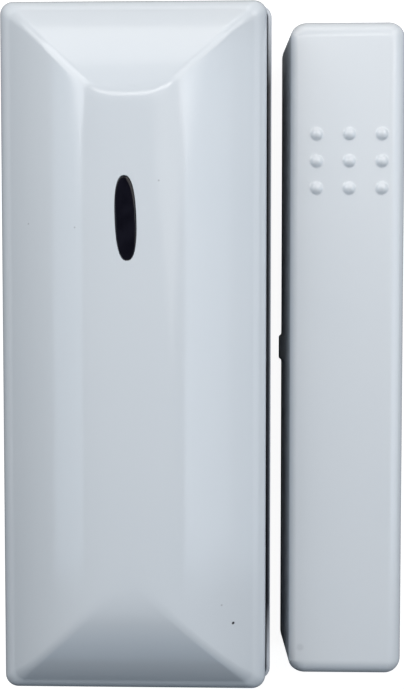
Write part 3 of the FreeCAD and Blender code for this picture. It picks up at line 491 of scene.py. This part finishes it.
def magnet_inside(around):
    """Rings of the hollow, from the ridge line of its ceiling down the leaning walls to the foot."""
    ceiling = MAGNET_TOP - MAGNET_WALL
    height = np.concatenate([[ceiling, ceiling], np.linspace(ceiling, 0, 6)[1:]])
    inset = MAGNET_WALL + MAGNET_SLANT * height
    corner = np.full(len(height), MAGNET_INSIDE_CORNER)
    inset[0], corner[0] = MAGNET_HALF_WIDTH, 0
    x, y = around.rings(MAGNET_HALF_WIDTH - inset, MAGNET_HALF_LENGTH - inset, corner)
    return level_rings(x + MAGNET_X, y + MAGNET_Y, height)


def magnet_cap_surfaces():
    """The cap as one skin, down its inside, over the foot and up its outside, with two ribs over the
    magnet bar and four ramped catches at the foot."""
    around = magnet_steps()
    shell = skin(np.concatenate([magnet_inside(around), magnet_outside(around)]), closed=False)
    ribs = []
    low_x, high_x = MAGNET_X - RIB_HALF_WIDTH, MAGNET_X + RIB_HALF_WIDTH
    for side in (1, -1):
        middle_y = MAGNET_Y + side * RIB_Y
        low_y, high_y = middle_y - RIB_HALF_THICKNESS, middle_y + RIB_HALF_THICKNESS
        outline = [(low_x, low_y), (high_x, low_y), (high_x, high_y), (low_x, high_y)]
        ribs.append(prism(outline, RIB_FOOT, RIB_TOP, 2))
    catch = np.array([
        (CATCH_TIP, CATCH_RAMP),
        (CATCH_ROOT, CATCH_FOOT),
        (CATCH_ROOT, CATCH_TOP),
        (CATCH_TIP, CATCH_TOP),
    ])
    catches = in_four_quarters(catch, MAGNET_X, MAGNET_Y, CATCH_Y, CATCH_HALF_WIDTH)
    return [shell] + ribs + catches


class Recipe:
    """The node tree of a material or of the surround: short calls that add nodes and link them."""

    def __init__(self, owner):
        owner.use_nodes = True
        self.owner = owner
        self.tree = owner.node_tree
        self.tree.nodes.clear()

    @cached_property
    def place(self):
        """Object coordinates, which are the frame's own place in metres."""
        return self.add("ShaderNodeTexCoord").outputs["Object"]

    def add(self, kind, inputs=None, **settings):
        """A node with its settings, whose inputs are linked to sockets or set to plain values."""
        node = self.tree.nodes.new(kind)
        for key, value in settings.items():
            setattr(node, key, value)
        for key, value in (inputs or {}).items():
            if isinstance(value, bpy.types.NodeSocket):
                self.tree.links.new(value, node.inputs[key])
            else:
                node.inputs[key].default_value = value
        return node

    def noise(self, feature, detail=3.0, place=None):
        """Noise with features of that many millimetres."""
        inputs = {"Vector": place or self.place, "Scale": 1 / (feature * METRES), "Detail": detail}
        return self.add("ShaderNodeTexNoise", inputs).outputs["Fac"]

    def span(self, value, low, high, to_low, to_high):
        """A value's run from low to high made a run between two others, and level beyond its ends."""
        inputs = {"Value": value, "From Min": low, "From Max": high, "To Min": to_low, "To Max": to_high}
        return self.add("ShaderNodeMapRange", inputs).outputs["Result"]

    def drift(self, feature, low, high, detail=3.0, spread=0.2):
        """A value that drifts between two over patches of that many millimetres: noise, cut off where
        it is further than the spread from its middle."""
        return self.span(self.noise(feature, detail), 0.5 - spread, 0.5 + spread, low, high)

    def mix(self, share, first, second):
        """A colour between two. Inputs 0, 6 and 7 are the node's share and its two colours."""
        return self.add("ShaderNodeMix", {0: share, 6: first, 7: second}, data_type="RGBA").outputs[2]

    def maths(self, operation, first, second=0.0):
        """One sum with two values."""
        return self.add("ShaderNodeMath", {0: first, 1: second}, operation=operation).outputs[0]

    def vector_maths(self, operation, first, second):
        """The outputs of one sum with two vectors."""
        return self.add("ShaderNodeVectorMath", {0: first, 1: second}, operation=operation).outputs

    def bump(self, height, depth):
        """A bump of that many millimetres."""
        return self.add("ShaderNodeBump", {"Height": height, "Distance": depth * METRES}).outputs["Normal"]

    def spot(self, x, y, radius, edge):
        """One at a place on the face, seen from above, and nothing outside its radius and edge."""
        flat = self.vector_maths("MULTIPLY", self.place, (1, 1, 0))[0]
        away = self.vector_maths("DISTANCE", flat, (x * METRES, y * METRES, 0))["Value"]
        return self.span(away, radius * METRES, (radius + edge) * METRES, 1.0, 0.0)

    def seen(self):
        """One for rays from the camera, also through clear pieces, and nothing for all others."""
        rays = self.add("ShaderNodeLightPath").outputs
        return self.maths("MAXIMUM", rays["Is Camera Ray"], rays["Is Transmission Ray"])

    def finish(self, inputs):
        """The material, with its surface from these inputs."""
        shader = self.add("ShaderNodeBsdfPrincipled", inputs)
        self.add("ShaderNodeOutputMaterial", {"Surface": shader.outputs[0]})
        return self.owner


def rgb(red, green, blue):
    """An opaque colour."""
    return (red, green, blue, 1.0)


def moulded(name, light, dark, patch, roughness, grain, depth, metallic=0.0, transmission=0.0):
    """A plain moulded or metal surface: its colour drifts between two near shades over patches, its
    roughness varies a little, and a fine grain stands in its bump."""
    recipe = Recipe(bpy.data.materials.new(name))
    return recipe.finish({
        "Base Color": recipe.mix(recipe.drift(patch, 0.0, 1.0, spread=0.15), light, dark),
        "Roughness": recipe.drift(patch / 3, roughness * 0.85, roughness * 1.2),
        "Normal": recipe.bump(recipe.noise(grain, detail=4.0), depth),
        "Metallic": metallic,
        "Transmission Weight": transmission,
    })


def cover_finish():
    """Glossy white moulding with a slight cool tint, a slow waviness, lengthwise flow marks and a few
    specks of dirt, one dark and four faint."""
    recipe = Recipe(bpy.data.materials.new("cover_white"))
    shade = recipe.drift(14.0, 0.0, 1.0, detail=2.0)
    plain = recipe.mix(shade, rgb(0.700, 0.745, 0.790), rgb(0.690, 0.738, 0.786))
    dirt = recipe.spot(11.5, -30.8, radius=0.10, edge=0.10)
    faintness = 0.3
    for x, y, radius in ((3.4, 18.6, 0.06), (-5.8, 13.6, 0.05), (-11.4, 14.2, 0.05), (10.2, -28.5, 0.06)):
        speck = recipe.spot(x, y, radius, edge=0.08)
        dirt = recipe.maths("MAXIMUM", dirt, recipe.maths("MULTIPLY", speck, faintness))
    flow_length, flow_share = 10, 0.45
    drawn_out = recipe.vector_maths("MULTIPLY", recipe.place, (1, 1 / flow_length, 1))[0]
    flow = recipe.maths("MULTIPLY", recipe.noise(2.6, detail=1.5, place=drawn_out), flow_share)
    wave = recipe.maths("ADD", recipe.noise(9.0, detail=1.0), flow)
    return recipe.finish({
        "Base Color": recipe.mix(dirt, plain, rgb(0.02, 0.02, 0.03)),
        "Roughness": recipe.drift(5.0, 0.11, 0.17),
        "Normal": recipe.bump(wave, depth=0.03),
        "IOR": 1.49,
    })


def tray_finish():
    """White moulding like the cover's. Shade is painted into its colour: dark in the seam at the long
    sides and over the lip beside it, and thinning out towards the ends."""
    seam_shade_starts, seam_shade_full = 0.02, 0.16
    seam_low, seam_high = COVER_FOOT - 0.3, COVER_FOOT - 0.05
    thinning_starts, thinning_ends, thinned = 31.0, 37.5, 0.12
    recipe = Recipe(bpy.data.materials.new("tray_white"))
    shade = recipe.drift(12.0, 0.0, 1.0, spread=0.15)
    plain = recipe.mix(shade, rgb(0.62, 0.655, 0.70), rgb(0.58, 0.62, 0.67))
    across, along, up = recipe.add("ShaderNodeSeparateXYZ", {0: recipe.place}).outputs
    inset = recipe.maths("SUBTRACT", TRAY_HALF_WIDTH * METRES, recipe.maths("ABSOLUTE", across))
    # Painted shade: the seam and the lip beside it are darkened in the colour.
    painted_seam_shade = recipe.span(inset, seam_shade_starts * METRES, seam_shade_full * METRES, 0.0, 1.0)
    in_seam = recipe.span(up, seam_low * METRES, seam_high * METRES, 0.0, 1.0)
    outwards = recipe.maths("ABSOLUTE", along)
    thinning = recipe.span(outwards, thinning_starts * METRES, thinning_ends * METRES, 1.0, thinned)
    for share in (in_seam, thinning):
        painted_seam_shade = recipe.maths("MULTIPLY", painted_seam_shade, share)
    return recipe.finish({
        # The dark colour of the painted shade in the seam.
        "Base Color": recipe.mix(painted_seam_shade, plain, rgb(0.020, 0.023, 0.032)),
        "Roughness": recipe.drift(4.0, 0.29, 0.41),
        "Normal": recipe.bump(recipe.noise(0.3, detail=4.0), depth=0.003),
    })


def magnet_finish():
    """Satin white moulding with a fine even grain and a faint smudge near the near end."""
    recipe = Recipe(bpy.data.materials.new("magnet_white"))
    shade = recipe.drift(11.0, 0.0, 1.0, detail=2.0)
    plain = recipe.mix(shade, rgb(0.720, 0.760, 0.800), rgb(0.710, 0.753, 0.796))
    faintness = 0.12
    smudge = recipe.maths("MULTIPLY", recipe.spot(19.6, -36.2, radius=0.25, edge=0.3), faintness)
    return recipe.finish({
        "Base Color": recipe.mix(smudge, plain, rgb(0.10, 0.11, 0.13)),
        "Roughness": recipe.drift(3.0, 0.20, 0.26),
        "Normal": recipe.bump(recipe.noise(0.22, detail=2.0), depth=0.0015),
        "IOR": 1.60,
    })


def board_finish():
    """Green solder mask in a staggered pattern of fields with paler lines between them, like copper
    runs under the mask."""
    field = 6.0
    recipe = Recipe(bpy.data.materials.new("board_green"))
    runs = recipe.add("ShaderNodeTexBrick", {
        "Vector": recipe.place,
        "Color1": rgb(0.012, 0.120, 0.045),
        "Color2": rgb(0.016, 0.145, 0.055),
        "Mortar": rgb(0.030, 0.230, 0.090),
        "Scale": 1 / (field * METRES),
        "Mortar Size": 0.03,
        "Brick Width": 0.8,
        "Row Height": 0.35,
    }, offset=0.37)
    return recipe.finish({
        "Base Color": runs.outputs["Color"],
        "Roughness": recipe.drift(2.0, 0.28, 0.40),
        "Normal": recipe.bump(runs.outputs["Fac"], depth=0.03),
    })


def floor_finish():
    """Paper that glows white for the camera alone and takes the pair's shadow. Seen in the pair's
    gloss it is grey and, in the gap, painted nearly black as deep shade, and it lights the pair little."""
    recipe = Recipe(bpy.data.materials.new("floor_white"))
    rays = recipe.add("ShaderNodeLightPath").outputs
    across = recipe.add("ShaderNodeSeparateXYZ", {0: recipe.place}).outputs[0]
    from_gap = recipe.maths("ABSOLUTE", recipe.maths("SUBTRACT", across, GAP_X * METRES))
    out_of_gap = recipe.span(from_gap, SHADE_THINS * METRES, SHADE_ENDS * METRES, 0.0, 1.0)
    # Painted shade: in reflections the floor's colour is nearly black in the gap between the units.
    reflected = recipe.mix(out_of_gap, rgb(0.005, 0.005, 0.005), rgb(0.11, 0.12, 0.14))
    paper = recipe.mix(rays["Is Diffuse Ray"], rgb(0.30, 0.30, 0.30), rgb(0.04, 0.04, 0.04))
    paper = recipe.mix(rays["Is Glossy Ray"], paper, reflected)
    matt = recipe.add("ShaderNodeBsdfDiffuse", {"Color": paper})
    strength = recipe.maths("MULTIPLY", recipe.seen(), FLOOR_GLOW)
    glow = recipe.add("ShaderNodeEmission", {"Color": rgb(1, 1, 1), "Strength": strength})
    both = recipe.add("ShaderNodeAddShader", {0: matt.outputs[0], 1: glow.outputs[0]})
    recipe.add("ShaderNodeOutputMaterial", {"Surface": both.outputs[0]})
    return recipe.owner


# Plain finishes: two near shades, the size of their patches, roughness, the size and depth of the
# grain and, where a finish has them, metallic and transmission. Sizes are in millimetres.
PLAIN_FINISHES = {
    "magnet_base_white": (rgb(0.66, 0.69, 0.72), rgb(0.63, 0.665, 0.70), 10.0, 0.42, 0.25, 0.004),
    "smoked_lens": (rgb(0.004, 0.004, 0.008), rgb(0.008, 0.008, 0.014), 2.0, 0.06, 0.8, 0.001),
    "screw_steel": (rgb(0.55, 0.56, 0.58), rgb(0.42, 0.43, 0.45), 1.2, 0.30, 0.12, 0.004, 1.0),
    "cell_jacket": (rgb(0.10, 0.13, 0.20), rgb(0.08, 0.105, 0.17), 8.0, 0.30, 0.5, 0.004),
    "clip_steel": (rgb(0.62, 0.62, 0.60), rgb(0.50, 0.50, 0.49), 3.0, 0.24, 0.15, 0.003, 1.0),
    "reed_glass": (rgb(0.55, 0.68, 0.62), rgb(0.48, 0.62, 0.56), 4.0, 0.07, 0.6, 0.001, 0.0, 0.35),
    "lead_wire": (rgb(0.60, 0.60, 0.60), rgb(0.48, 0.48, 0.49), 1.0, 0.28, 0.1, 0.002, 1.0),
    "switch_black": (rgb(0.018, 0.018, 0.020), rgb(0.028, 0.028, 0.030), 2.0, 0.45, 0.15, 0.005),
    "plunger_white": (rgb(0.70, 0.70, 0.68), rgb(0.64, 0.64, 0.62), 1.2, 0.38, 0.15, 0.003),
    "antenna_brass": (rgb(0.66, 0.49, 0.22), rgb(0.52, 0.37, 0.16), 2.5, 0.28, 0.12, 0.003, 1.0),
    "chip_black": (rgb(0.020, 0.020, 0.022), rgb(0.032, 0.032, 0.034), 1.5, 0.55, 0.1, 0.006),
    "can_tin": (rgb(0.60, 0.61, 0.62), rgb(0.50, 0.51, 0.53), 3.0, 0.30, 0.2, 0.003, 1.0),
    "crystal_can": (rgb(0.66, 0.66, 0.65), rgb(0.56, 0.56, 0.56), 2.0, 0.20, 0.2, 0.002, 1.0),
    "capacitor_can": (rgb(0.03, 0.05, 0.12), rgb(0.04, 0.065, 0.15), 2.0, 0.30, 0.3, 0.003),
    "lamp_clear": (rgb(0.80, 0.80, 0.76), rgb(0.74, 0.74, 0.68), 1.0, 0.10, 0.3, 0.001, 0.0, 0.5),
    "part_tan": (rgb(0.34, 0.25, 0.16), rgb(0.26, 0.19, 0.12), 0.6, 0.45, 0.1, 0.004),
    "pin_gold": (rgb(0.80, 0.60, 0.26), rgb(0.66, 0.48, 0.20), 0.8, 0.24, 0.1, 0.002, 1.0),
    "header_black": (rgb(0.022, 0.022, 0.024), rgb(0.034, 0.034, 0.036), 1.5, 0.48, 0.15, 0.004),
    "jumper_blue": (rgb(0.03, 0.09, 0.34), rgb(0.025, 0.075, 0.28), 1.5, 0.40, 0.15, 0.004),
    "magnet_nickel": (rgb(0.62, 0.61, 0.58), rgb(0.52, 0.51, 0.49), 4.0, 0.22, 0.2, 0.002, 1.0),
}

# The slot of every solid that keeps its own mesh.
NODE_SLOTS = {
    "sensor_base": "tray_white",
    "circuit_board": "board_green",
    "board_screws": "screw_steel",
    "battery_cell": "cell_jacket",
    "battery_positive_clip": "clip_steel",
    "battery_negative_clip": "clip_steel",
    "reed_glass": "reed_glass",
    "reed_leads": "lead_wire",
    "tamper_switch": "switch_black",
    "tamper_plunger": "plunger_white",
    "antenna_wire": "antenna_brass",
    "microcontroller": "chip_black",
    "radio_can": "can_tin",
    "quartz_crystal": "crystal_can",
    "capacitor": "capacitor_can",
    "status_lamp": "lamp_clear",
    "small_board_parts": "part_tan",
    "header_pins": "pin_gold",
    "header_block": "header_black",
    "jumper_cap": "jumper_blue",
    "magnet_base": "magnet_base_white",
    "magnet_bar": "magnet_nickel",
}

finishes = {name: moulded(name, *look) for name, look in PLAIN_FINISHES.items()}
finishes["cover_white"] = cover_finish()
finishes["tray_white"] = tray_finish()
finishes["magnet_white"] = magnet_finish()
finishes["board_green"] = board_finish()

for node, slot in NODE_SLOTS.items():
    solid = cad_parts[node].data
    solid.materials.clear()
    solid.materials.append(finishes[slot])

add_piece("cover_shell", sensor_cover_surfaces(), "cover_white", "sensor_cover")
add_piece("lens_pane", window_lens_surfaces(), "smoked_lens", "window_lens")
add_piece("magnet_cap", magnet_cap_surfaces(), "magnet_white", "magnet_cover")


def camera_like_photo():
    """A camera close above the table, nearly straight down, over the gap's side of the sensor."""
    picture_height = 689
    focal_pixels = 1063.5
    film_side = 36
    place = Vector((11.00, 6.34, 138.93)) * METRES
    aim = Vector((7.46, -0.22, 0.0)) * METRES
    lens = bpy.data.cameras.new("camera")
    lens.sensor_fit = "VERTICAL"
    lens.sensor_height = film_side
    lens.sensor_width = film_side
    lens.lens = focal_pixels / picture_height * film_side
    lens.clip_start = 0.01
    ahead = (aim - place).normalized()
    right = ahead.cross(Vector((0, 1, 0))).normalized()
    up = right.cross(ahead)
    turn = Matrix((right, up, -ahead)).transposed()
    camera = bpy.data.objects.new("camera", lens)
    camera.matrix_world = Matrix.Translation(place) @ turn.to_4x4()
    bpy.context.scene.collection.objects.link(camera)
    bpy.context.scene.camera = camera


def paper_floor():
    """A square of paper a hair below the pair's feet."""
    quarters = ((-1, -1), (1, -1), (1, 1), (-1, 1))
    corners = [(x * FLOOR_HALF, y * FLOOR_HALF, 0) for x, y in quarters]
    mesh = bpy.data.meshes.new("floor")
    mesh.from_pydata(corners, [], [(0, 1, 2, 3)])
    mesh.materials.append(floor_finish())
    floor = bpy.data.objects.new("floor", mesh)
    floor.location.z = -FLOOR_DROP * METRES
    bpy.context.scene.collection.objects.link(floor)


def white_surround():
    """White where the camera sees it, and a weak even fill for everything else."""
    recipe = Recipe(bpy.data.worlds.new("surround"))
    strength = recipe.span(recipe.seen(), 0.0, 1.0, SURROUND_FILL, 1.0)
    glow = recipe.add("ShaderNodeBackground", {"Color": rgb(1, 1, 1), "Strength": strength})
    recipe.add("ShaderNodeOutputWorld", {"Surface": glow.outputs[0]})
    bpy.context.scene.world = recipe.owner


def softbox(name, place, width, height, power, tint):
    """A rectangular lamp, in metres, turned to face the middle of the pair."""
    pair_middle = Vector((0.008, 0.0, 0.01))
    lamp = bpy.data.lights.new(name, "AREA")
    lamp.shape = "RECTANGLE"
    lamp.size, lamp.size_y = width, height
    lamp.energy = power
    lamp.color = tint
    box = bpy.data.objects.new(name, lamp)
    box.location = place
    box.rotation_euler = (pair_middle - Vector(place)).to_track_quat("-Z", "Y").to_euler()
    bpy.context.scene.collection.objects.link(box)


def lamps():
    """Warm and plain lamps beyond the window's end, cool ones on the two sides and a cold faint one
    at the near end."""
    warm, plain = (1.04, 1.0, 0.96), (1.0, 1.0, 1.0)
    cool, bluer, cold = (0.88, 0.99, 1.11), (0.82, 1.0, 1.18), (0.62, 0.99, 1.40)
    softbox("key_far_left", (-0.17, 0.17, 0.22), 0.21, 0.16, 0.41, plain)
    softbox("key_far_right", (0.17, 0.17, 0.22), 0.21, 0.16, 0.24, warm)
    softbox("high_far_right", (0.13, 0.13, 0.38), 0.26, 0.20, 0.19, warm)
    softbox("strip_far_end", (0.0, 0.17, 0.38), 0.22, 0.04, 0.14, warm)
    softbox("low_far_end", (0.0, 0.31, 0.11), 0.21, 0.16, 0.14, warm)
    softbox("corner_far_right", (0.23, 0.23, 0.13), 0.10, 0.10, 0.06, warm)
    softbox("corner_far_left", (-0.23, 0.23, 0.13), 0.10, 0.10, 0.06, warm)
    softbox("fill_right", (0.33, 0.0, 0.25), 0.26, 0.26, 0.40, cool)
    softbox("low_right", (0.40, 0.0, 0.07), 0.26, 0.14, 0.15, cool)
    softbox("fill_left", (-0.31, 0.0, 0.28), 0.26, 0.20, 0.20, bluer)
    softbox("fill_near_end", (0.0, -0.39, 0.14), 0.26, 0.20, 0.05, cold)


camera_like_photo()
paper_floor()
white_surround()
lamps()
bpy.context.scene.view_settings.view_transform = "Standard"
